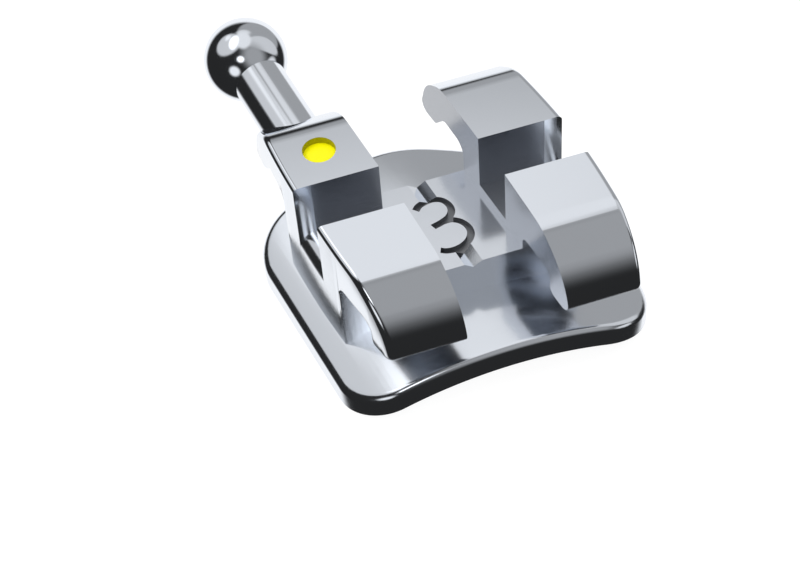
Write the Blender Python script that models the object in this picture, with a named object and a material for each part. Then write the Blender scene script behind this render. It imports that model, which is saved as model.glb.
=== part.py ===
"""A twin orthodontic bracket with a ball hook, in metres, +Z up.

The tooth is under it. The archwire slot runs along X, the wings reach out along Y, and the hook is
on the +Y side. The origin is the middle of the tooth side, on the lowest point of the middle wire.
Everything that follows the long axis of the tooth leans in plan by the angulation of the slot.
"""

import math

import bmesh
import bpy
import numpy as np
from mathutils import Matrix, Vector

MM = 0.001

# The slot and the lean of the tooth axis in plan.
SLOT_WIDTH = 0.5588 * MM
ANGULATION = math.radians(-9.8)
MOUTH_RADIUS = 0.20 * MM

# The wings. Each outline corner is its distance from the middle of the slot, its height over the
# slot floor, and the radius it is rounded to. The last corner is where the undercut meets the neck.
WING_SPAN = 2.99 * MM
WING_EDGE_RADIUS = 0.06 * MM
BITING_SIDE_BULGE_RADIUS = 10.0 * MM
HOOK_SIDE_BULGE_RADIUS = 11.0 * MM
NECK_WIDTH = 1.27 * MM
HOOK_SIDE_TOP = 0.735 * MM
HOOK_SIDE_CORNERS = (
    (1.130 * MM, 0.735 * MM, 0.40 * MM),
    (1.465 * MM, 0.500 * MM, 0.55 * MM),
    (1.615 * MM, 0.030 * MM, 0.110 * MM),
    (1.270 * MM, 0.045 * MM, 0.10 * MM),
    (1.060 * MM, 0.285 * MM, 0.14 * MM),
    (0.635 * MM, 0.275 * MM, 0.16 * MM),
)
BITING_SIDE_TOP = 0.720 * MM
BITING_SIDE_CORNERS = (
    (1.000 * MM, 0.645 * MM, 0.50 * MM),
    (1.450 * MM, 0.335 * MM, 0.50 * MM),
    (1.595 * MM, -0.200 * MM, 0.130 * MM),
    (1.200 * MM, -0.205 * MM, 0.090 * MM),
    (1.200 * MM, 0.095 * MM, 0.12 * MM),
    (0.635 * MM, 0.095 * MM, 0.10 * MM),
)

# The channel between the left and right wings, with its scribed centre line. The line is broken in
# the middle of the channel, where the tooth's digit is engraved.
CHANNEL_WIDTH = 1.097 * MM
CHANNEL_BELOW_SLOT = 0.106 * MM
SCRIBE_WIDTH = 0.20 * MM
SCRIBE_DEPTH = 0.075 * MM
SCRIBE_BREAK = (-0.385 * MM, 0.335 * MM)

# The pad, curved about the long axis of the tooth. Each corner is its place across and along the
# tooth, before the lean, and its radius. The hook side of the pad is drawn out to a blunt point.
PAD_LEFT = 1.750 * MM
PAD_RIGHT = 1.825 * MM
PAD_BITING_END = 1.515 * MM
PAD_CORNERS = (
    (-PAD_LEFT, -PAD_BITING_END, 0.50 * MM),
    (PAD_RIGHT, -PAD_BITING_END, 0.79 * MM),
    (PAD_RIGHT, 1.165 * MM, 0.40 * MM),
    (0.147 * MM, 1.695 * MM, 1.62 * MM),
    (-PAD_LEFT, 1.285 * MM, 0.74 * MM),
)
PAD_THICKNESS = 0.29 * MM
PAD_EDGE_RADIUS = 0.065 * MM
PAD_BELOW_SLOT = 0.568 * MM
TOOTH_RADIUS = 3.90 * MM

# The woven wire cloth under the pad.
WIRE_THICKNESS = 0.10 * MM
WIRE_PITCH = 0.34 * MM
CLOTH_THICKNESS = 0.12 * MM
CLOTH_MARGIN = 0.15 * MM

# The hook: a round post that carries a ball.
POST_DIAMETER = 0.595 * MM
BALL_DIAMETER = 0.94 * MM
BALL_FROM_SLOT = 2.60 * MM
BALL_OVER_SLOT_FLOOR = 0.43 * MM
POST_FROM_SLOT = 1.25 * MM
POST_OVER_SLOT_FLOOR = 0.36 * MM
HOOK_ACROSS = -1.00 * MM

# The coloured dot and the recess it is cured in.
DOT_DIAMETER = 0.36 * MM
DOT_FROM_SLOT = 0.725 * MM
DOT_ACROSS = -0.994 * MM
DOT_BELOW_TOP = 0.09 * MM
DOT_THICKNESS = 0.10 * MM

# Clearances: between pieces that are joined, and the reach of a cutter past what it cuts.
SEAT_GAP = 0.01 * MM
CUT_PAST = 0.5 * MM

ARC_STEP = math.radians(13)
ROUND_SEGMENTS = 32

LEAN = math.tan(ANGULATION)
WING_END = WING_SPAN / 2
SLOT_FLOOR = CLOTH_THICKNESS + SEAT_GAP + PAD_THICKNESS + PAD_BELOW_SLOT
PAD_UNDER = CLOTH_THICKNESS + SEAT_GAP
TOP_MOST = SLOT_FLOOR + HOOK_SIDE_TOP
WING_REACH = max(corner[0] for corner in HOOK_SIDE_CORNERS + BITING_SIDE_CORNERS)


def clear_scene():
    for item in list(bpy.data.objects):
        bpy.data.objects.remove(item, do_unlink=True)


def new_collection(name, hidden):
    collection = bpy.data.collections.new(name)
    bpy.context.scene.collection.children.link(collection)
    collection.hide_render = hidden
    return collection


def new_material(name, colour, roughness, metallic):
    material = bpy.data.materials.new(name)
    material.use_nodes = True
    shader = material.node_tree.nodes["Principled BSDF"]
    shader.inputs["Base Color"].default_value = (*colour, 1)
    shader.inputs["Roughness"].default_value = roughness
    shader.inputs["Metallic"].default_value = metallic
    material.diffuse_color = (*colour, 1)
    return material


def new_object(name, shape, collection, material=None):
    """Turns the bmesh into a smooth object with its faces turned outwards."""
    bmesh.ops.recalc_face_normals(shape, faces=shape.faces)
    mesh = bpy.data.meshes.new(name)
    shape.to_mesh(mesh)
    shape.free()
    mesh.shade_smooth()
    mesh.set_sharp_from_angle(angle=math.radians(30))
    made = bpy.data.objects.new(name, mesh)
    collection.objects.link(made)
    if material:
        mesh.materials.append(material)
    else:
        made.display_type = "WIRE"
        made.hide_render = True
    return made


def join_or_cut(target, other, operation):
    modifier = target.modifiers.new(other.name, "BOOLEAN")
    modifier.operation = operation
    modifier.solver = "EXACT"
    modifier.object = other


def lean(shape):
    """Shifts everything sideways in proportion to its distance from the slot."""
    for vertex in shape.verts:
        vertex.co.x += LEAN * vertex.co.y


def split(shape, normal, places):
    """Cuts the faces along parallel planes, so that they can be bent there."""
    for place in places:
        parts = list(shape.verts) + list(shape.edges) + list(shape.faces)
        bmesh.ops.bisect_plane(shape, geom=parts, dist=1e-9, plane_co=normal * place, plane_no=normal)


def tooth_drop(x):
    """How far the surface of the tooth falls away at this distance from its long axis."""
    return TOOTH_RADIUS - np.sqrt(TOOTH_RADIUS**2 - np.square(x))


def bend_to_tooth(shape, folds):
    """Lowers the shape on to the tooth, straight between one fold and the next."""
    for vertex in shape.verts:
        vertex.co.z -= np.interp(vertex.co.x, folds, tooth_drop(folds))


def rounded_corner(before, corner, after, radius):
    """The points of the arc that rounds one corner of an outline."""
    back = (before - corner).normalized()
    on = (after - corner).normalized()
    half = back.angle(on) / 2
    centre = corner + (back + on).normalized() * radius / math.sin(half)
    start = corner + back * radius / math.tan(half) - centre
    turn = math.pi - 2 * half
    steps = max(2, math.ceil(turn / ARC_STEP))
    way = 1 if back.cross(on) < 0 else -1
    return [centre + Matrix.Rotation(way * turn * i / steps, 2) @ start for i in range(steps + 1)]


def wing_outline(top, corners):
    """One wing from the top of the slot wall round to the neck, as (distance, height) points."""
    chain = [Vector((SLOT_WIDTH / 2, top))]
    chain += [Vector(corner[:2]) for corner in corners]
    chain.append(Vector((NECK_WIDTH / 2, -PAD_BELOW_SLOT)))
    points = [chain[0]]
    for i, corner in enumerate(corners):
        points += rounded_corner(chain[i], chain[i + 1], chain[i + 2], corner[2])
    return points


def inset(points, weights, depth):
    """Moves each side of the closed outline inwards by its own share of the depth."""
    moved = []
    for i, point in enumerate(points):
        normals = []
        shares = []
        for a, b in ((i - 1, i), (i, (i + 1) % len(points))):
            side = points[b] - points[a]
            normals.append((side.y, -side.x) / np.float64(side.length))
            shares.append(weights[a] * depth)
        step = np.linalg.lstsq(np.array(normals), np.array(shares), rcond=0.2)[0]
        moved.append(point + Vector(step))
    return moved


def body_rings():
    """The cross-sections of the wings, neck and slot, from the left end to the right end."""
    biting = wing_outline(BITING_SIDE_TOP, BITING_SIDE_CORNERS)
    hook = wing_outline(HOOK_SIDE_TOP, HOOK_SIDE_CORNERS)
    half_neck = NECK_WIDTH / 2
    outline = [Vector((-half_neck, 0))]
    outline += [Vector((-p.x, p.y)) for p in reversed(biting)]
    outline += [Vector((-SLOT_WIDTH / 2, 0)), Vector((SLOT_WIDTH / 2, 0))]
    outline += hook
    outline += [Vector((half_neck, 0))]
    first_floor = len(biting) + 1
    weights = [0.0] + [1.0] * (len(biting) - 1) + [0.0] * 3 + [1.0] * (len(hook) - 1) + [0.0] * 2
    fade = math.ceil(math.pi / 2 / ARC_STEP)
    for i in range(fade):
        weights[1 + i] = i / fade
        weights[len(weights) - 3 - i] = i / fade
    offsets = [MOUTH_RADIUS * (1 - math.sin(math.radians(a))) for a in (0, 22.5, 45, 67.5)]
    offsets += [WING_EDGE_RADIUS * (1 - math.sin(math.radians(a))) for a in (0, 30, 60)] + [0.0]
    stations = [WING_END - offset for offset in sorted(offsets, reverse=True)]
    inner = [(WING_END - MOUTH_RADIUS) * i / 3 for i in range(3)]
    stations = inner + stations
    stations = [-x for x in reversed(stations[1:])] + stations
    rings = []
    for x in stations:
        into_edge = max(0.0, abs(x) - (WING_END - WING_EDGE_RADIUS))
        depth = WING_EDGE_RADIUS - math.sqrt(max(0.0, WING_EDGE_RADIUS**2 - into_edge**2))
        into_mouth = max(0.0, abs(x) - (WING_END - MOUTH_RADIUS))
        drop = MOUTH_RADIUS - math.sqrt(max(0.0, MOUTH_RADIUS**2 - into_mouth**2))
        points = inset(outline, weights, depth)
        points[first_floor] = outline[first_floor] - Vector((0, drop))
        points[first_floor + 1] = outline[first_floor + 1] - Vector((0, drop))
        foot = SLOT_FLOOR - PAD_BELOW_SLOT - PAD_THICKNESS / 2 - tooth_drop(x)
        ring = [Vector((x, p.x, p.y + SLOT_FLOOR)) for p in points]
        ring[0].z = foot
        ring[-1].z = foot
        rings.append(ring)
    return rings


def loft(rings):
    """A closed solid through cross-sections that have the same number of points."""
    shape = bmesh.new()
    rows = [[shape.verts.new(point) for point in ring] for ring in rings]
    count = len(rows[0])
    for row, following in zip(rows, rows[1:]):
        for i in range(count):
            j = (i + 1) % count
            shape.faces.new((row[i], row[j], following[j], following[i]))
    shape.faces.new(rows[0])
    shape.faces.new(rows[-1])
    return shape


def bulge_sides(shape, folds):
    """Draws the outer sides in towards the wing tips, straight between one fold and the next."""
    radius = np.where(folds < 0, BITING_SIDE_BULGE_RADIUS, HOOK_SIDE_BULGE_RADIUS)
    drawn_in = radius - np.sqrt(np.square(radius) - np.square(folds))
    for vertex in shape.verts:
        if abs(vertex.co.x) > WING_END - 2 * MOUTH_RADIUS:
            vertex.co.x -= math.copysign(np.interp(vertex.co.y, folds, drawn_in), vertex.co.x)


def prism(outline, axis, start, end):
    """A straight bar: the outline's points, carried along the axis from start to end."""
    shape = bmesh.new()
    across = [i for i in range(3) if i != axis]
    points = []
    for pair in outline:
        place = [0.0, 0.0, 0.0]
        place[axis] = start
        place[across[0]], place[across[1]] = pair
        points.append(shape.verts.new(place))
    face = shape.faces.new(points)
    moved = bmesh.ops.extrude_face_region(shape, geom=[face])["geom"]
    step = Vector([end - start if i == axis else 0.0 for i in range(3)])
    bmesh.ops.translate(shape, vec=step, verts=[g for g in moved if isinstance(g, bmesh.types.BMVert)])
    return shape


def pad_outline(margin):
    """The plan of the pad with its corners rounded, drawn in by the margin."""
    outline = []
    count = len(PAD_CORNERS)
    for i, corner in enumerate(PAD_CORNERS):
        chain = [Vector(PAD_CORNERS[j % count][:2]) for j in (i - 1, i, i + 1)]
        outline += rounded_corner(*chain, corner[2])
    return inset(outline, [-1.0] * len(outline), margin)


def round_bar(start, end, diameter):
    """A round bar between two points."""
    shape = bmesh.new()
    along = end - start
    turn = along.to_track_quat("Z", "Y").to_matrix().to_4x4()
    place = Matrix.Translation((start + end) / 2) @ turn
    bmesh.ops.create_cone(
        shape,
        cap_ends=True,
        segments=ROUND_SEGMENTS,
        radius1=diameter / 2,
        radius2=diameter / 2,
        depth=along.length,
        matrix=place,
    )
    return shape


def wings_and_neck(collection, material):
    shape = loft(body_rings())
    folds = np.linspace(-WING_REACH, WING_REACH, 13)
    split(shape, Vector((0, 1, 0)), folds[1:-1])
    bulge_sides(shape, folds)
    lean(shape)
    return new_object("bracket_body", shape, collection, material)


def channel_cutter(collection):
    """Clears the space between the wings, and the space that the biting side's tips hang into."""
    floor = SLOT_FLOOR - CHANNEL_BELOW_SLOT
    reach = WING_REACH + CUT_PAST
    tip_inside, tip_bottom = BITING_SIDE_CORNERS[3][:2]
    past_neck = -(NECK_WIDTH / 2 + tip_inside) / 2
    under_tip = SLOT_FLOOR + (tip_bottom - PAD_BELOW_SLOT) / 2
    outline = (
        (-reach, under_tip),
        (past_neck, under_tip),
        (past_neck, floor),
        (reach, floor),
        (reach, TOP_MOST + CUT_PAST),
        (-reach, TOP_MOST + CUT_PAST),
    )
    shape = prism(outline, 0, -CHANNEL_WIDTH / 2, CHANNEL_WIDTH / 2)
    lean(shape)
    return new_object("channel_cutter", shape, collection)


def scribe_cutters(collection):
    """A V along the middle of the channel floor, in two lengths."""
    floor = SLOT_FLOOR - CHANNEL_BELOW_SLOT
    slope = SCRIBE_DEPTH / (SCRIBE_WIDTH / 2)
    rise = SCRIBE_DEPTH / 2
    outline = (
        (0, floor - SCRIBE_DEPTH),
        (SCRIBE_WIDTH / 2 + rise / slope, floor + rise),
        (-SCRIBE_WIDTH / 2 - rise / slope, floor + rise),
    )
    cutters = []
    for start, end in ((-NECK_WIDTH, SCRIBE_BREAK[0]), (SCRIBE_BREAK[1], NECK_WIDTH)):
        shape = prism(outline, 1, start, end)
        lean(shape)
        cutters.append(new_object("scribe_cutter", shape, collection))
    return cutters


def dot_place(height):
    return Vector((DOT_ACROSS + LEAN * DOT_FROM_SLOT, DOT_FROM_SLOT, height))


def recess_cutter(collection):
    floor = TOP_MOST - DOT_BELOW_TOP - DOT_THICKNESS - SEAT_GAP
    shape = round_bar(dot_place(floor), dot_place(TOP_MOST + CUT_PAST), DOT_DIAMETER + 2 * SEAT_GAP)
    return new_object("recess_cutter", shape, collection)


def pad_solid(collection):
    low = PAD_UNDER
    high = PAD_UNDER + PAD_THICKNESS
    shape = prism(pad_outline(0.0), 2, low, high)
    rim = [e for e in shape.edges if min(v.co.z for v in e.verts) > high - 1e-7]
    bmesh.ops.bevel(shape, geom=rim, offset=PAD_EDGE_RADIUS, segments=3, profile=0.5, affect="EDGES")
    folds = np.linspace(-PAD_LEFT, PAD_RIGHT, 18)
    split(shape, Vector((1, 0, 0)), folds[1:-1])
    bend_to_tooth(shape, folds)
    lean(shape)
    return new_object("pad", shape, collection)


def hook_solids(collection):
    root = Vector((HOOK_ACROSS + LEAN * POST_FROM_SLOT, POST_FROM_SLOT, SLOT_FLOOR + POST_OVER_SLOT_FLOOR))
    ball = Vector((HOOK_ACROSS + LEAN * BALL_FROM_SLOT, BALL_FROM_SLOT, SLOT_FLOOR + BALL_OVER_SLOT_FLOOR))
    post = new_object("hook_post", round_bar(root, ball, POST_DIAMETER), collection)
    shape = bmesh.new()
    bmesh.ops.create_uvsphere(
        shape,
        u_segments=ROUND_SEGMENTS,
        v_segments=ROUND_SEGMENTS // 2,
        radius=BALL_DIAMETER / 2,
        matrix=Matrix.Translation(ball),
    )
    return post, new_object("hook_ball", shape, collection)


def cloth_lines(low, high):
    """Where the two sides of each wire lie, from one edge of the cloth to the other."""
    first = math.ceil((low + WIRE_THICKNESS) / WIRE_PITCH)
    last = math.floor((high - WIRE_THICKNESS) / WIRE_PITCH)
    middles = np.arange(first, last + 1) * WIRE_PITCH
    lines = np.sort(np.concatenate([middles - WIRE_THICKNESS / 2, middles + WIRE_THICKNESS / 2]))
    return np.concatenate([[low], lines, [high]])


def is_inside(outline, x, y):
    """Whether a point is inside the outline, which is convex and runs anticlockwise."""
    point = Vector((x, y))
    sides = zip(outline, outline[1:] + outline[:1])
    return all((b - a).cross(point - a) > 0 for a, b in sides)


def wire_cloth(helpers, collection, material):
    """A sheet with square openings between crossing wires, trimmed to the outline of the pad."""
    edge = pad_outline(CLOTH_MARGIN)
    solid_edge = pad_outline(CLOTH_MARGIN + WIRE_THICKNESS)
    reach = WIRE_THICKNESS
    across = cloth_lines(min(p.x for p in edge) - reach, max(p.x for p in edge) + reach)
    along = cloth_lines(min(p.y for p in edge) - reach, max(p.y for p in edge) + reach)
    shape = bmesh.new()
    rows = [[shape.verts.new((x, y, 0)) for y in along] for x in across]
    for i in range(len(across) - 1):
        for j in range(len(along) - 1):
            corners = [(x, y) for x in across[i : i + 2] for y in along[j : j + 2]]
            opening = i % 2 == 0 and j % 2 == 0 and all(is_inside(solid_edge, *c) for c in corners)
            if not opening:
                shape.faces.new((rows[i][j], rows[i + 1][j], rows[i + 1][j + 1], rows[i][j + 1]))
    moved = bmesh.ops.extrude_face_region(shape, geom=list(shape.faces))["geom"]
    lift = [g for g in moved if isinstance(g, bmesh.types.BMVert)]
    bmesh.ops.translate(shape, vec=(0, 0, CLOTH_THICKNESS), verts=lift)
    bend_to_tooth(shape, across)
    lean(shape)
    cloth = new_object("bonding_mesh", shape, collection, material)
    trim = prism(edge, 2, -tooth_drop(across[-1]) - CUT_PAST, PAD_UNDER + CUT_PAST)
    lean(trim)
    join_or_cut(cloth, new_object("cloth_trim", trim, helpers), "INTERSECT")
    return cloth


def build():
    clear_scene()
    parts = new_collection("orthodontic_bracket", False)
    helpers = new_collection("cutters", True)
    steel = new_material("polished_steel", (0.72, 0.73, 0.75), 0.12, 1.0)
    wire = new_material("wire_cloth_steel", (0.56, 0.56, 0.57), 0.35, 1.0)
    epoxy = new_material("yellow_epoxy", (1.0, 0.86, 0.0), 0.35, 0.0)
    body = wings_and_neck(parts, steel)
    join_or_cut(body, channel_cutter(helpers), "DIFFERENCE")
    for cutter in scribe_cutters(helpers):
        join_or_cut(body, cutter, "DIFFERENCE")
    join_or_cut(body, recess_cutter(helpers), "DIFFERENCE")
    join_or_cut(body, pad_solid(helpers), "UNION")
    for piece in hook_solids(helpers):
        join_or_cut(body, piece, "UNION")
    wire_cloth(helpers, parts, wire)
    bottom = TOP_MOST - DOT_BELOW_TOP - DOT_THICKNESS
    dot = round_bar(dot_place(bottom), dot_place(bottom + DOT_THICKNESS), DOT_DIAMETER)
    new_object("identification_dot", dot, parts, epoxy)


build()
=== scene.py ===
"""A twin orthodontic bracket with a ball hook: polished steel, a bonding mesh and a yellow dot."""

import math

import bmesh
import bpy
import numpy as np
from mathutils import Matrix, Vector


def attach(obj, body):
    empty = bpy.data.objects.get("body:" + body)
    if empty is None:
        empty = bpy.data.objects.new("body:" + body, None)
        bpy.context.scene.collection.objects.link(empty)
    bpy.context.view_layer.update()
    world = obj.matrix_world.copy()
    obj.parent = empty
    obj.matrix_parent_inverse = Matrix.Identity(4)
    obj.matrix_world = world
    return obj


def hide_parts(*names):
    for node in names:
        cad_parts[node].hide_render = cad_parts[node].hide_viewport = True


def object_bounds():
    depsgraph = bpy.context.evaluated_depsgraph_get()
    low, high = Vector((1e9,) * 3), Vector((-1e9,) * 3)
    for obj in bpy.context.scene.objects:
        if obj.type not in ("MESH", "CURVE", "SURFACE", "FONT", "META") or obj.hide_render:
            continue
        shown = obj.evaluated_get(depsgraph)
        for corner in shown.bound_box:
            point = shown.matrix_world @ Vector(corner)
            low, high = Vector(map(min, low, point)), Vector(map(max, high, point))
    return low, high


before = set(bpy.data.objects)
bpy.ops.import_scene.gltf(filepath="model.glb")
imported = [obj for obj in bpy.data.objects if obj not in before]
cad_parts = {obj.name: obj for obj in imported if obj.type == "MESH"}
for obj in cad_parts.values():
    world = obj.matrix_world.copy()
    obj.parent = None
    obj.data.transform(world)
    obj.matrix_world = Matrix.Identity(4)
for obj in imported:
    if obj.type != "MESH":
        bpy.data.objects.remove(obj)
cad_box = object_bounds()

MM = 0.001

# The camera stands in front of the biting side, a little to the left, and looks down on the bracket
# from a short distance, so that the near wings look larger than the far ones.
CAMERA_PLACE = (-3.852 * MM, -13.325 * MM, 17.243 * MM)
CAMERA_HEADING = -13.92
CAMERA_LOOKS_DOWN = 51.37
CAMERA_ROLL = -5.04
camera = bpy.data.objects.new("camera", bpy.data.cameras.new("camera"))
bpy.context.scene.collection.objects.link(camera)
camera.data.sensor_width = 36
camera.data.sensor_fit = "HORIZONTAL"
camera.data.lens = 89.92
camera.data.clip_start = 0.001
camera.data.clip_end = 2
camera.matrix_world = (
    Matrix.Translation(CAMERA_PLACE)
    @ Matrix.Rotation(math.radians(CAMERA_HEADING), 4, "Z")
    @ Matrix.Rotation(math.radians(90 - CAMERA_LOOKS_DOWN), 4, "X")
    @ Matrix.Rotation(math.radians(CAMERA_ROLL), 4, "Z")
)
bpy.context.scene.camera = camera
bpy.context.scene.view_settings.view_transform = "Standard"

# The bracket body is one piece of stainless steel, injection moulded, sintered and polished. Its tie
# wings stand on a neck on both sides of the archwire slot. Their ends are rounded and a little bowed,
# the slot rolls off at both ends, and the whole body leans by the angle of the tooth.
SLOT_WIDTH = 0.5588 * MM
NECK_WIDTH = 1.27 * MM
WING_END = 2.99 * MM / 2
WING_EDGE_RADIUS = 0.06 * MM
MOUTH_RADIUS = 0.20 * MM
BITING_SIDE_BULGE_RADIUS = 10.0 * MM
HOOK_SIDE_BULGE_RADIUS = 11.0 * MM
LEAN = math.tan(math.radians(-9.8))
CLOTH_THICKNESS = 0.12 * MM
SEAT_GAP = 0.01 * MM
PAD_UNDER = CLOTH_THICKNESS + SEAT_GAP
PAD_THICKNESS = 0.29 * MM
PAD_BELOW_SLOT = 0.568 * MM
SLOT_FLOOR = PAD_UNDER + PAD_THICKNESS + PAD_BELOW_SLOT
TOOTH_RADIUS = 3.90 * MM
ARC_STEP = math.radians(4)

# Each corner of a wing's profile is its distance from the middle of the slot, its height over the
# slot's floor and its radius. They go from the slot over the top, round the tip and into the undercut.
HOOK_SIDE_TOP = 0.735 * MM
HOOK_SIDE_CORNERS = (
    (1.130 * MM, 0.735 * MM, 0.40 * MM),
    (1.465 * MM, 0.500 * MM, 0.55 * MM),
    (1.615 * MM, 0.030 * MM, 0.110 * MM),
    (1.270 * MM, 0.045 * MM, 0.10 * MM),
    (1.060 * MM, 0.285 * MM, 0.14 * MM),
    (0.635 * MM, 0.275 * MM, 0.16 * MM),
)
BITING_SIDE_TOP = 0.720 * MM
BITING_SIDE_CORNERS = (
    (1.000 * MM, 0.645 * MM, 0.50 * MM),
    (1.465 * MM, 0.345 * MM, 0.90 * MM),
    (1.595 * MM, -0.200 * MM, 0.130 * MM),
    (1.200 * MM, -0.205 * MM, 0.090 * MM),
    (1.200 * MM, 0.095 * MM, 0.12 * MM),
    (0.635 * MM, 0.095 * MM, 0.10 * MM),
)


def rounded_corner(before, corner, after, radius):
    """The points of an arc that rounds the corner between two straight sides."""
    back = (before - corner).normalized()
    on = (after - corner).normalized()
    half = back.angle(on) / 2
    centre = corner + (back + on).normalized() * radius / math.sin(half)
    start = corner + back * radius / math.tan(half) - centre
    turn = math.pi - 2 * half
    steps = max(2, math.ceil(turn / ARC_STEP))
    way = 1 if back.cross(on) < 0 else -1
    return [centre + Matrix.Rotation(way * turn * i / steps, 2) @ start for i in range(steps + 1)]


def wing_outline(top, corners):
    """One wing's profile, from the top of the slot's wall round to the neck."""
    chain = [Vector((SLOT_WIDTH / 2, top))]
    chain += [Vector(corner[:2]) for corner in corners]
    chain.append(Vector((NECK_WIDTH / 2, -PAD_BELOW_SLOT)))
    points = [chain[0]]
    for i, corner in enumerate(corners):
        points += rounded_corner(chain[i], chain[i + 1], chain[i + 2], corner[2])
    return points


def inset(points, weights, depth):
    """The outline moved inwards by the depth, times the weight of each of its sides."""
    moved = []
    for i, point in enumerate(points):
        normals = []
        shares = []
        for a, b in ((i - 1, i), (i, (i + 1) % len(points))):
            side = points[b] - points[a]
            normals.append((side.y, -side.x) / np.float64(side.length))
            shares.append(weights[a] * depth)
        step = np.linalg.lstsq(np.array(normals), np.array(shares), rcond=0.2)[0]
        moved.append(point + Vector(step))
    return moved


def loft(shape, rings):
    """A closed skin over the rings of points, with a face on each end."""
    for ring, following in zip(rings, rings[1:]):
        for i in range(len(ring)):
            j = (i + 1) % len(ring)
            shape.faces.new((ring[i], ring[j], following[j], following[i]))
    shape.faces.new(rings[0])
    shape.faces.new(rings[-1])


def split(shape, normal, places):
    """Cut the faces along flat planes, so that the shape can be bent there."""
    for place in places:
        parts = list(shape.verts) + list(shape.edges) + list(shape.faces)
        bmesh.ops.bisect_plane(shape, geom=parts, dist=1e-9, plane_co=normal * place, plane_no=normal)


def lean(shape):
    """Shift the shape along the slot by its distance from the slot, as the tooth leans."""
    for vertex in shape.verts:
        vertex.co.x += LEAN * vertex.co.y


def tooth_drop(x):
    """How far the tooth's curved face has dropped at a distance from the middle."""
    return TOOTH_RADIUS - np.sqrt(TOOTH_RADIUS**2 - np.square(x))


def loose_object(name, shape, material):
    """The finished shape as an object of one material."""
    bmesh.ops.recalc_face_normals(shape, faces=shape.faces)
    mesh = bpy.data.meshes.new(name)
    shape.to_mesh(mesh)
    shape.free()
    mesh.materials.append(material)
    made = bpy.data.objects.new(name, mesh)
    bpy.context.scene.collection.objects.link(made)
    return made


class Socket:
    """A socket of a shader node that takes part in plain arithmetic."""

    def __init__(self, tree, socket):
        self.tree = tree
        self.socket = socket

    def node(self, kind, settings, inputs, output=0):
        made = self.tree.nodes.new(kind)
        for name, value in settings.items():
            setattr(made, name, value)
        for name, value in inputs.items():
            if isinstance(value, Socket):
                self.tree.links.new(value.socket, made.inputs[name])
            else:
                made.inputs[name].default_value = value
        return Socket(self.tree, made.outputs[output])

    def maths(self, operation, first, second):
        return self.node("ShaderNodeMath", {"operation": operation}, {0: first, 1: second})

    def __add__(self, other):
        return self.maths("ADD", self, other)

    def __sub__(self, other):
        return self.maths("SUBTRACT", self, other)

    def __rsub__(self, other):
        return self.maths("SUBTRACT", other, self)

    def __mul__(self, other):
        return self.maths("MULTIPLY", self, other)

    __radd__ = __add__
    __rmul__ = __mul__


def finish(name, colour, roughness, spread, grains, height=0.0, metallic=1.0):
    """A surface whose roughness wanders by the spread, with so many grains a metre on each axis.

    The height, in metres, is how deep the grain is. Without it the surface is smooth.
    """
    made = bpy.data.materials.new(name)
    made.use_nodes = True
    shader = made.node_tree.nodes["Principled BSDF"]
    shader.inputs["Base Color"].default_value = colour
    shader.inputs["Metallic"].default_value = metallic
    surface = Socket(made.node_tree, None)
    place = surface.node("ShaderNodeTexCoord", {}, {}, "Object")
    place = surface.node("ShaderNodeVectorMath", {"operation": "MULTIPLY"}, {0: place, 1: grains})
    grain = surface.node("ShaderNodeTexNoise", {}, {"Vector": place, "Scale": 1.0, "Detail": 3.0})
    wandering = (grain - 0.5) * spread + roughness
    made.node_tree.links.new(wandering.socket, shader.inputs["Roughness"])
    if height:
        bump = surface.node("ShaderNodeBump", {}, {"Height": grain, "Distance": height, "Strength": 1.0})
        made.node_tree.links.new(bump.socket, shader.inputs["Normal"])
    return made


# The steel has three finishes: polished on a wheel, tumbled where no wheel reaches, and milled with
# streaks along the slot. The milled steel's darker colour is painted shade, for the slot and the
# undersides of the wings. The digit's cut is rough, and its darker colour is painted shade in the cut.
STEEL = (0.84, 0.88, 0.945, 1)
polished = finish("polished steel", STEEL, 0.10, 0.04, (4000, 4000, 4000))
tumbled = finish("tumbled steel", STEEL, 0.16, 0.06, (9000, 9000, 9000), 1.5e-7)
# The darker colour of the milled steel is painted shade in the slot and under the wings.
shaded_milled = finish("milled steel with painted shade", (0.47, 0.49, 0.53, 1), 0.25, 0.10, (1500, 40000, 40000), 1e-7)
# The engraved steel's dark colour is painted shade in the narrow cut.
engraved_and_shaded = finish("engraved steel with painted shade", (0.34, 0.35, 0.37, 1), 0.45, 0.15, (20000, 20000, 20000), 1e-6)

biting = wing_outline(BITING_SIDE_TOP, BITING_SIDE_CORNERS)
hook = wing_outline(HOOK_SIDE_TOP, HOOK_SIDE_CORNERS)
outline = [Vector((-NECK_WIDTH / 2, 0))]
outline += [Vector((-p.x, p.y)) for p in reversed(biting)]
outline += [Vector((-SLOT_WIDTH / 2, 0)), Vector((SLOT_WIDTH / 2, 0))]
outline += hook
outline += [Vector((NECK_WIDTH / 2, 0))]

# The rounding of the ends fades out on the neck's side of each undercut, and the slot has none.
first_floor = len(biting) + 1
weights = [0.0] + [1.0] * (len(biting) - 1) + [0.0] * 3 + [1.0] * (len(hook) - 1) + [0.0] * 2
fade = math.ceil(math.pi / 2 / ARC_STEP)
for i in range(fade):
    weights[1 + i] = i / fade
    weights[len(weights) - 3 - i] = i / fade

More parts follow.
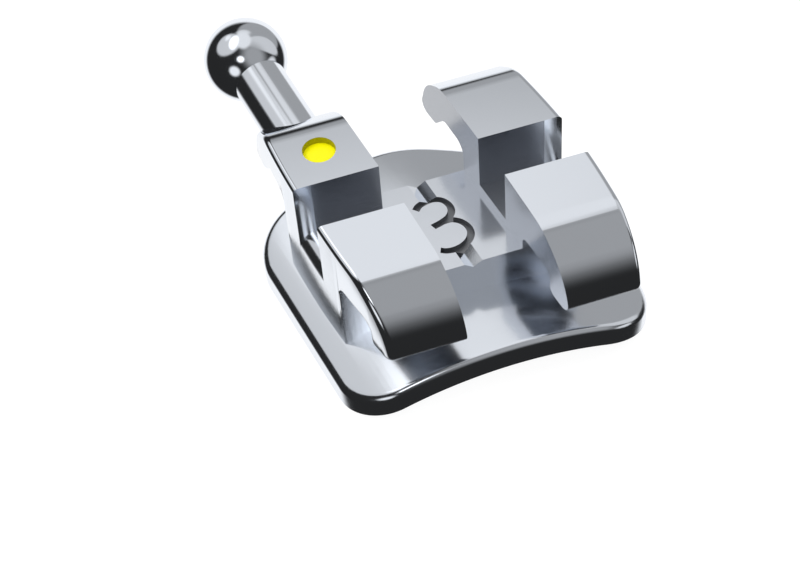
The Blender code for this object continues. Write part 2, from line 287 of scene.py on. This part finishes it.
MOUTH_ARC = range(0, 81, 8)
EDGE_ARC = range(0, 76, 15)
FLAT_BEFORE_EDGE = 0.01 * MM
stations = [0.0, 0.3 * MM, 0.6 * MM, 0.9 * MM, 1.1 * MM]
stations.append(WING_END - WING_EDGE_RADIUS - FLAT_BEFORE_EDGE)
stations += [WING_END - MOUTH_RADIUS * (1 - math.sin(math.radians(a))) for a in MOUTH_ARC]
stations += [WING_END - WING_EDGE_RADIUS * (1 - math.sin(math.radians(a))) for a in EDGE_ARC]
stations.append(WING_END)
stations = sorted(stations)
stations = [-x for x in reversed(stations[1:])] + stations
shape = bmesh.new()
rings = []
for x in stations:
    into_edge = max(0.0, abs(x) - (WING_END - WING_EDGE_RADIUS))
    depth = WING_EDGE_RADIUS - math.sqrt(max(0.0, WING_EDGE_RADIUS**2 - into_edge**2))
    into_mouth = max(0.0, abs(x) - (WING_END - MOUTH_RADIUS))
    drop = MOUTH_RADIUS - math.sqrt(max(0.0, MOUTH_RADIUS**2 - into_mouth**2))
    points = inset(outline, weights, depth)
    points[first_floor] = outline[first_floor] - Vector((0, drop))
    points[first_floor + 1] = outline[first_floor + 1] - Vector((0, drop))
    foot = -PAD_BELOW_SLOT - PAD_THICKNESS / 2 - tooth_drop(x)
    points[0] = Vector((points[0].x, foot))
    points[-1] = Vector((points[-1].x, foot))
    rings.append([shape.verts.new((x, p.x, p.y + SLOT_FLOOR)) for p in points])
loft(shape, rings)

WING_REACH = 1.6 * MM
BOWED_FROM = WING_END - 1.5 * MOUTH_RADIUS
folds = np.linspace(-WING_REACH, WING_REACH, 41)
split(shape, Vector((0, 1, 0)), folds[1:-1])
radius = np.where(folds < 0, BITING_SIDE_BULGE_RADIUS, HOOK_SIDE_BULGE_RADIUS)
drawn_in = radius - np.sqrt(np.square(radius) - np.square(folds))
for vertex in shape.verts:
    if abs(vertex.co.x) > BOWED_FROM:
        vertex.co.x -= math.copysign(np.interp(vertex.co.y, folds, drawn_in), vertex.co.x)
lean(shape)
body = loose_object("bracket", shape, polished)

# The channel between the wings is cut square across the slot and is a little deeper than the slot. A
# line is scribed along the middle of its floor for lining the bracket up, and stops for the digit.
CHANNEL_WIDTH = 1.097 * MM
CHANNEL_BELOW_SLOT = 0.106 * MM
CUT_ABOVE_PAD = 0.1 * MM
CUT_PAST_NECK = 0.2 * MM
CUT_PAST_WINGS = 2 * MM
CUT_OVER_TOP = 0.5 * MM
SCRIBE_WIDTH = 0.20 * MM
SCRIBE_DEPTH = 0.075 * MM
SCRIBE_BEFORE_DIGIT = -0.385 * MM
SCRIBE_AFTER_DIGIT = 0.335 * MM


def prism(outline, axis, start, end):
    """A bar of one outline along an axis."""
    shape = bmesh.new()
    across = [i for i in range(3) if i != axis]
    points = []
    for pair in outline:
        place = [0.0, 0.0, 0.0]
        place[axis] = start
        place[across[0]], place[across[1]] = pair
        points.append(shape.verts.new(place))
    face = shape.faces.new(points)
    moved = bmesh.ops.extrude_face_region(shape, geom=[face])["geom"]
    step = Vector([end - start if i == axis else 0.0 for i in range(3)])
    bmesh.ops.translate(shape, vec=step, verts=[g for g in moved if isinstance(g, bmesh.types.BMVert)])
    return shape


def join_or_cut(target, other, operation):
    """Join the other object to the target or cut it out, with the cutter's material on the cut."""
    modifier = target.modifiers.new(other.name, "BOOLEAN")
    modifier.operation = operation
    modifier.solver = "EXACT"
    modifier.material_mode = "TRANSFER"
    modifier.object = other
    graph = bpy.context.evaluated_depsgraph_get()
    cut = bpy.data.meshes.new_from_object(target.evaluated_get(graph))
    target.modifiers.remove(modifier)
    target.data = cut
    bpy.data.objects.remove(other, do_unlink=True)


pad_top = SLOT_FLOOR - PAD_BELOW_SLOT
top = SLOT_FLOOR + HOOK_SIDE_TOP
channel_floor = SLOT_FLOOR - CHANNEL_BELOW_SLOT
past_neck = -NECK_WIDTH / 2 - CUT_PAST_NECK
shape = prism(
    (
        (-CUT_PAST_WINGS, pad_top + CUT_ABOVE_PAD),
        (past_neck, pad_top + CUT_ABOVE_PAD),
        (past_neck, channel_floor),
        (CUT_PAST_WINGS, channel_floor),
        (CUT_PAST_WINGS, top + CUT_OVER_TOP),
        (-CUT_PAST_WINGS, top + CUT_OVER_TOP),
    ),
    0,
    -CHANNEL_WIDTH / 2,
    CHANNEL_WIDTH / 2,
)
lean(shape)
join_or_cut(body, loose_object("channel", shape, polished), "DIFFERENCE")

slope = SCRIBE_DEPTH / (SCRIBE_WIDTH / 2)
rise = SCRIBE_DEPTH / 2
for start, end in ((-NECK_WIDTH, SCRIBE_BEFORE_DIGIT), (SCRIBE_AFTER_DIGIT, NECK_WIDTH)):
    shape = prism(
        (
            (0, channel_floor - SCRIBE_DEPTH),
            (SCRIBE_WIDTH / 2 + rise / slope, channel_floor + rise),
            (-SCRIBE_WIDTH / 2 - rise / slope, channel_floor + rise),
        ),
        1,
        start,
        end,
    )
    lean(shape)
    join_or_cut(body, loose_object("scribe", shape, polished), "DIFFERENCE")

# A round recess in the top of one hook-side wing takes the identification dot. The epoxy stains its
# wall where it ran down, and the stain's dark yellow is painted shade in the recess.
DOT_DIAMETER = 0.34 * MM
DOT_FROM_SLOT = 0.725 * MM
DOT_ACROSS = -0.994 * MM
DOT_BELOW_TOP = 0.09 * MM
DOT_THICKNESS = 0.10 * MM
RECESS_CUTTER = 1 * MM


def round_bar(diameter, length, place, sides):
    """A closed cylinder."""
    shape = bmesh.new()
    ends = {"radius1": diameter / 2, "radius2": diameter / 2, "depth": length}
    bmesh.ops.create_cone(shape, cap_ends=True, segments=sides, matrix=place, **ends)
    return shape


# The wall's yellow is darker than the dot's, as painted shade in the recess.
stained_and_shaded = finish(
    "epoxy on the recess wall with painted shade", (0.42, 0.40, 0.0, 1), 0.40, 0.10, (8000, 8000, 8000), metallic=0.0
)
dot_middle = Vector((DOT_ACROSS + LEAN * DOT_FROM_SLOT, DOT_FROM_SLOT, 0))
recess_floor = top - DOT_BELOW_TOP - DOT_THICKNESS - SEAT_GAP
place = Matrix.Translation(dot_middle + Vector((0, 0, recess_floor + RECESS_CUTTER / 2)))
shape = round_bar(DOT_DIAMETER + 2 * SEAT_GAP, RECESS_CUTTER, place, 96)
join_or_cut(body, loose_object("recess", shape, stained_and_shaded), "DIFFERENCE")

# The bonding pad has five uneven corners, a rounded upper rim, and a curve that fits the tooth.
PAD_CORNERS = (
    (-1.750 * MM, -1.515 * MM, 0.50 * MM),
    (1.825 * MM, -1.515 * MM, 0.79 * MM),
    (1.825 * MM, 1.165 * MM, 0.40 * MM),
    (0.147 * MM, 1.695 * MM, 1.62 * MM),
    (-1.750 * MM, 1.285 * MM, 0.74 * MM),
)
PAD_EDGE_RADIUS = 0.085 * MM
ON_UPPER_FACE = PAD_UNDER + PAD_THICKNESS - 1e-7
pad_outline = []
for i, corner in enumerate(PAD_CORNERS):
    chain = [Vector(PAD_CORNERS[j % len(PAD_CORNERS)][:2]) for j in (i - 1, i, i + 1)]
    pad_outline += rounded_corner(*chain, corner[2])
shape = prism(pad_outline, 2, PAD_UNDER, PAD_UNDER + PAD_THICKNESS)
rim = [edge for edge in shape.edges if min(v.co.z for v in edge.verts) > ON_UPPER_FACE]
bmesh.ops.bevel(shape, geom=rim, offset=PAD_EDGE_RADIUS, segments=8, profile=0.5, affect="EDGES")
pad_folds = np.linspace(PAD_CORNERS[0][0], PAD_CORNERS[1][0], 61)
split(shape, Vector((1, 0, 0)), pad_folds[1:-1])
for vertex in shape.verts:
    vertex.co.z -= np.interp(vertex.co.x, pad_folds, tooth_drop(pad_folds))
lean(shape)
join_or_cut(body, loose_object("pad", shape, polished), "UNION")

# The hook is a round post with a ball, for elastic bands. It grows out of the outer face of a wing.
POST_DIAMETER = 0.595 * MM
BALL_DIAMETER = 0.94 * MM
HOOK_ACROSS = -1.00 * MM
POST_FROM_SLOT = 1.25 * MM
POST_OVER_SLOT_FLOOR = 0.36 * MM
BALL_FROM_SLOT = 2.60 * MM
BALL_OVER_SLOT_FLOOR = 0.43 * MM
post_foot = Vector((HOOK_ACROSS + LEAN * POST_FROM_SLOT, POST_FROM_SLOT, SLOT_FLOOR + POST_OVER_SLOT_FLOOR))
ball_middle = Vector((HOOK_ACROSS + LEAN * BALL_FROM_SLOT, BALL_FROM_SLOT, SLOT_FLOOR + BALL_OVER_SLOT_FLOOR))
along = ball_middle - post_foot
turned = along.to_track_quat("Z", "Y").to_matrix().to_4x4()
place = Matrix.Translation((post_foot + ball_middle) / 2) @ turned
join_or_cut(body, loose_object("post", round_bar(POST_DIAMETER, along.length, place, 128), polished), "UNION")
shape = bmesh.new()
place = Matrix.Translation(ball_middle) @ turned
bmesh.ops.create_uvsphere(shape, u_segments=128, v_segments=64, radius=BALL_DIAMETER / 2, matrix=place)
join_or_cut(body, loose_object("ball", shape, polished), "UNION")

# The digit on the channel floor tells which tooth the bracket is for. It is engraved with a small
# cutter in two strokes where the scribed line is broken. The lower stroke goes a hair deeper.
STROKE_WIDTH = 0.078 * MM
STROKE_DEPTH = 0.075 * MM
CUTTER_OVER_FLOOR = 0.05 * MM
UPPER_STROKE = ((-0.195, 0.262), (-0.135, 0.312), (-0.050, 0.340), (0.045, 0.345), (0.125, 0.305))
UPPER_STROKE += ((0.160, 0.222), (0.145, 0.130), (0.080, 0.055), (-0.020, 0.010), (-0.140, -0.022))
LOWER_STROKE = ((-0.005, 0.010), (0.075, 0.008), (0.150, -0.040), (0.190, -0.125), (0.182, -0.225))
LOWER_STROKE += ((0.120, -0.315), (0.020, -0.375), (-0.090, -0.397), (-0.175, -0.385), (-0.225, -0.355))


def smooth_path(points, steps):
    """A curve through all the points, with its tangent at each step."""
    ends = [points[0] * 2 - points[1]] + points + [points[-1] * 2 - points[-2]]
    path = []
    for a, b, c, d in zip(ends, ends[1:], ends[2:], ends[3:]):
        once = c - a
        twice = a * 2 - b * 5 + c * 4 - d
        thrice = b * 3 - a - c * 3 + d
        for k in range(steps):
            t = k / steps
            place = b + once * t / 2 + twice * t**2 / 2 + thrice * t**3 / 2
            tangent = once / 2 + twice * t + thrice * t**2 * 1.5
            path.append((place, tangent.normalized()))
    path.append((points[-1], (points[-1] - points[-2]).normalized()))
    return path


# The strokes take the engraved steel, whose dark colour is painted shade in the cut.
for name, points, deeper in (("upper_stroke", UPPER_STROKE, 1.0), ("lower_stroke", LOWER_STROKE, 1.02)):
    bottom = -STROKE_DEPTH * deeper
    section = ((1, bottom), (-1, bottom), (-1, CUTTER_OVER_FLOOR), (1, CUTTER_OVER_FLOOR))
    shape = bmesh.new()
    rings = []
    for place, tangent in smooth_path([Vector(point) * MM for point in points], steps=6):
        side = Vector((-tangent.y, tangent.x)) * STROKE_WIDTH / 2
        ring = []
        for sign, height in section:
            edge = place + side * sign
            ring.append(shape.verts.new((edge.x, edge.y, channel_floor + height)))
        rings.append(ring)
    loft(shape, rings)
    lean(shape)
    join_or_cut(body, loose_object(name, shape, engraved_and_shaded), "DIFFERENCE")

# The slot is milled after the polishing, so its floor and walls are duller than the rest, and their
# darker colour there is painted shade. The undersides of the wings, up to the hook-side tips, get the
# same darker steel as painted shade under the wings. The slot's mouths, the neck, the channel and the
# pad are only tumbled, because no polishing wheel gets in there.
NEAR = 0.002 * MM
FACES_DOWN = -0.2
CLEAR_OF_PAD = 0.05 * MM
HOOK_SIDE_TIPS = 1.0 * MM
body.data.materials.append(shaded_milled)
body.data.materials.append(tumbled)
shaded_milled_index = len(body.data.materials) - 2
tumbled_index = len(body.data.materials) - 1
polished_index = body.data.materials.find(polished.name)
for face in body.data.polygons:
    across, from_slot, height = face.center
    across = abs(across - LEAN * from_slot)
    in_slot = abs(from_slot) < SLOT_WIDTH / 2 + NEAR and height > SLOT_FLOOR - NEAR
    on_neck = abs(from_slot) < NECK_WIDTH / 2 + NEAR and height < SLOT_FLOOR - NEAR
    on_pad = height < pad_top + NEAR
    painted_shade_under_wing = face.normal.z < FACES_DOWN and height > pad_top + CLEAR_OF_PAD
    if in_slot and across < WING_END - MOUTH_RADIUS:
        face.material_index = shaded_milled_index
    elif in_slot and across < WING_END - WING_EDGE_RADIUS:
        face.material_index = tumbled_index
    # Painted shade: the downward faces under the wings get the darker milled steel.
    elif painted_shade_under_wing and from_slot < HOOK_SIDE_TIPS:
        face.material_index = shaded_milled_index
    elif face.material_index == polished_index and (on_pad or on_neck):
        face.material_index = tumbled_index

body.data.shade_smooth()
body.data.set_sharp_from_angle(angle=math.radians(28))
weighted = body.modifiers.new("even normals", "WEIGHTED_NORMAL")
weighted.keep_sharp = True
weighted.weight = 80
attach(body, "root")
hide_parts("bracket_body")

# The identification dot is yellow epoxy, dropped into the recess and cured a little below its edge.
yellow = finish("yellow epoxy", (1.0, 0.95, 0.0, 1), 0.35, 0.10, (8000, 8000, 8000), 4e-7, metallic=0.0)
place = Matrix.Translation(dot_middle + Vector((0, 0, top - DOT_BELOW_TOP - DOT_THICKNESS / 2)))
dot = loose_object("dot", round_bar(DOT_DIAMETER + 2 * SEAT_GAP, DOT_THICKNESS, place, 96), yellow)
dot.data.shade_smooth()
dot.data.set_sharp_from_angle(angle=math.radians(40))
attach(dot, "root")
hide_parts("identification_dot")

# The bonding mesh is a plain weave of stainless wire, rolled a little flat, and brazed to the hollow
# side of the pad. The adhesive that holds the bracket to the tooth locks into its openings.
WIRE_WIDTH = 0.10 * MM
WIRE_THICKNESS = 0.058 * MM
WIRE_PITCH = 0.34 * MM
WIRE_SIDES = 10
WEAVE_HEIGHT = 0.03 * MM
STEPS_A_PITCH = 8
CLOTH_MARGIN = 0.15 * MM
wire_steel = finish(
    "wire cloth steel", (0.60, 0.61, 0.62, 1), 0.30, 0.15, (20000, 20000, 20000), 5e-7
)


def crossings(outline, axis, place):
    """The two places where a straight line at a set place on one axis meets the outline."""
    found = []
    for a, b in zip(outline, outline[1:] + outline[:1]):
        if (a[axis] - place) * (b[axis] - place) < 0:
            share = (place - a[axis]) / (b[axis] - a[axis])
            found.append(a[1 - axis] + (b[1 - axis] - a[1 - axis]) * share)
    return min(found), max(found)


def wire(shape, points):
    """A slightly flattened wire along the points, closed at both ends."""
    rings = []
    for i, point in enumerate(points):
        ahead = (points[min(i + 1, len(points) - 1)] - points[max(i - 1, 0)]).normalized()
        side = ahead.cross(Vector((0, 0, 1))).normalized()
        up = side.cross(ahead)
        ring = []
        for k in range(WIRE_SIDES):
            turn = 2 * math.pi * k / WIRE_SIDES
            wide = side * math.cos(turn) * WIRE_WIDTH / 2
            thick = up * math.sin(turn) * WIRE_THICKNESS / 2
            ring.append(shape.verts.new(point + wide + thick))
        rings.append(ring)
    loft(shape, rings)


# The pad's outline runs round the other way from a wing's, so inwards is a negative depth.
cloth_outline = inset(pad_outline, [1.0] * len(pad_outline), -CLOTH_MARGIN)
shape = bmesh.new()
for axis in (0, 1):
    low = min(p[axis] for p in cloth_outline)
    high = max(p[axis] for p in cloth_outline)
    first = math.ceil((low + WIRE_WIDTH) / WIRE_PITCH)
    last = math.floor((high - WIRE_WIDTH) / WIRE_PITCH)
    for line in range(first, last + 1):
        start, end = crossings(cloth_outline, axis, line * WIRE_PITCH)
        steps = math.ceil((end - start) / (WIRE_PITCH / STEPS_A_PITCH))
        over_or_under = 1 if (line + axis) % 2 == 0 else -1
        points = []
        for k in range(steps + 1):
            along = start + (end - start) * k / steps
            weave = WEAVE_HEIGHT * math.cos(math.pi * along / WIRE_PITCH) * over_or_under
            place = [0.0, 0.0, CLOTH_THICKNESS / 2 + weave]
            place[axis] = line * WIRE_PITCH
            place[1 - axis] = along
            place[2] -= tooth_drop(place[0])
            place[0] += LEAN * place[1]
            points.append(Vector(place))
        wire(shape, points)
cloth = loose_object("mesh", shape, wire_steel)
cloth.data.shade_smooth()
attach(cloth, "root")
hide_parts("bonding_mesh")

# The floor is a plain white sheet. It is white to the camera, with only a faint shadow where the
# pad touches it, and the steel mirrors the room through it.
FLOOR_HALF_WIDTH = 0.2
shape = bmesh.new()
under_pad = Matrix.Translation((0, 0, cad_box[0][2]))
bmesh.ops.create_grid(shape, x_segments=1, y_segments=1, size=FLOOR_HALF_WIDTH, matrix=under_pad)
white = bpy.data.materials.new("white floor")
white.use_nodes = True
floor = loose_object("floor", shape, white)
floor.visible_glossy = False
paint = white.node_tree.nodes["Principled BSDF"]
paint.inputs["Base Color"].default_value = (0.2, 0.2, 0.2, 1)
paint.inputs["Specular IOR Level"].default_value = 0
paint.inputs["Emission Color"].default_value = (1, 1, 1, 1)
paint.inputs["Emission Strength"].default_value = 0.93

# The studio is dark, with white and grey cloths hung round and over the bench and a white wall low
# behind it. A polished part is all reflection, so the cloths give it its light and dark bands. The
# camera itself sees only white. Each cloth has its heading and height, half its width and half its
# own height, all in degrees, then its soft edge's share and its brightness.
DARK_ROOM = 0.022
WHITE = (1, 1, 1, 1)
CLOTHS = (
    (13, -38, 47, 50, 0.12, 1.0),
    (60, 42, 42, 48, 0.06, 0.37),
    (91, 40, 19, 44, 0.08, 0.64),
    (154, 44, 29, 35, 0.45, 0.36),
    (-61, 51, 28, 33, 0.10, 0.64),
    (15, 55, 14, 8.5, 0.45, 0.76),
    (11, 80, 19, 25, 0.22, 0.84),
    (-57, 65, 20, 12.5, 0.10, 1.3),
    (-36, 44, 7, 6, 0.60, 1.0),
    (-136, 11, 14, 13, 0.30, 0.95),
    (-151, 46, 9, 7.5, 0.50, 1.90),
    (122, -1, 16, 13, 0.30, 0.75),
)
world = bpy.data.worlds.new("studio")
bpy.context.scene.world = world
world.use_nodes = True
background = world.node_tree.nodes["Background"]
room = Socket(world.node_tree, background.outputs[0])
way = room.node("ShaderNodeTexCoord", {}, {}, "Generated")


def cloth_mask(heading, height, half_width, half_height, edge):
    """Where a round or oval cloth shows, from 1 in it to 0 outside.

    Its heading, in degrees, is clockwise from +Y. The edge is the soft part's share of its size.
    """
    turn = math.radians(heading)
    rise = math.radians(height)
    middle = (math.sin(turn) * math.cos(rise), math.cos(turn) * math.cos(rise), math.sin(rise))
    across = (math.cos(turn), -math.sin(turn), 0.0)
    up = (-math.sin(turn) * math.sin(rise), -math.cos(turn) * math.sin(rise), math.cos(rise))
    along = {"operation": "DOT_PRODUCT"}
    smooth = {"interpolation_type": "SMOOTHSTEP"}
    places = []
    for axis, half in ((across, half_width), (up, half_height)):
        place = room.node("ShaderNodeVectorMath", along, {0: way, 1: axis}, "Value")
        places.append(place * (1 / math.sin(math.radians(half))))
    squared = places[0] * places[0] + places[1] * places[1]
    out = room.node("ShaderNodeMath", {"operation": "SQRT"}, {0: squared})
    inside = room.node("ShaderNodeMapRange", smooth, {0: out, 1: 1 + edge, 2: 1 - edge, 3: 0.0, 4: 1.0})
    facing = room.node("ShaderNodeVectorMath", along, {0: way, 1: middle}, "Value")
    return inside * room.node("ShaderNodeMapRange", smooth, {0: facing, 1: 0.0, 2: 0.1, 3: 0.0, 4: 1.0})


brightness = DARK_ROOM
for heading, height, half_width, half_height, edge, level in CLOTHS:
    mask = cloth_mask(heading, height, half_width, half_height, edge)
    brightness = brightness + mask * (level - brightness)
world.node_tree.links.new(brightness.socket, background.inputs["Strength"])
background.inputs["Color"].default_value = WHITE
camera_ray = room.node("ShaderNodeLightPath", {}, {}, "Is Camera Ray")
white_space = room.node("ShaderNodeBackground", {}, {"Color": WHITE})
seen = room.node("ShaderNodeMixShader", {}, {0: camera_ray, 1: room, 2: white_space})
world.node_tree.links.new(seen.socket, world.node_tree.nodes["World Output"].inputs["Surface"])

# A large soft lamp over the bench lights what isn't polished.
lamp = bpy.data.objects.new("lamp", bpy.data.lights.new("lamp", "AREA"))
bpy.context.scene.collection.objects.link(lamp)
lamp.data.shape = "DISK"
lamp.data.size = 0.12
lamp.data.energy = 0.08
lamp.location = (-0.02, -0.01, 0.10)
lamp.rotation_euler = Vector(lamp.location).to_track_quat("Z", "Y").to_euler()
lamp.visible_glossy = False
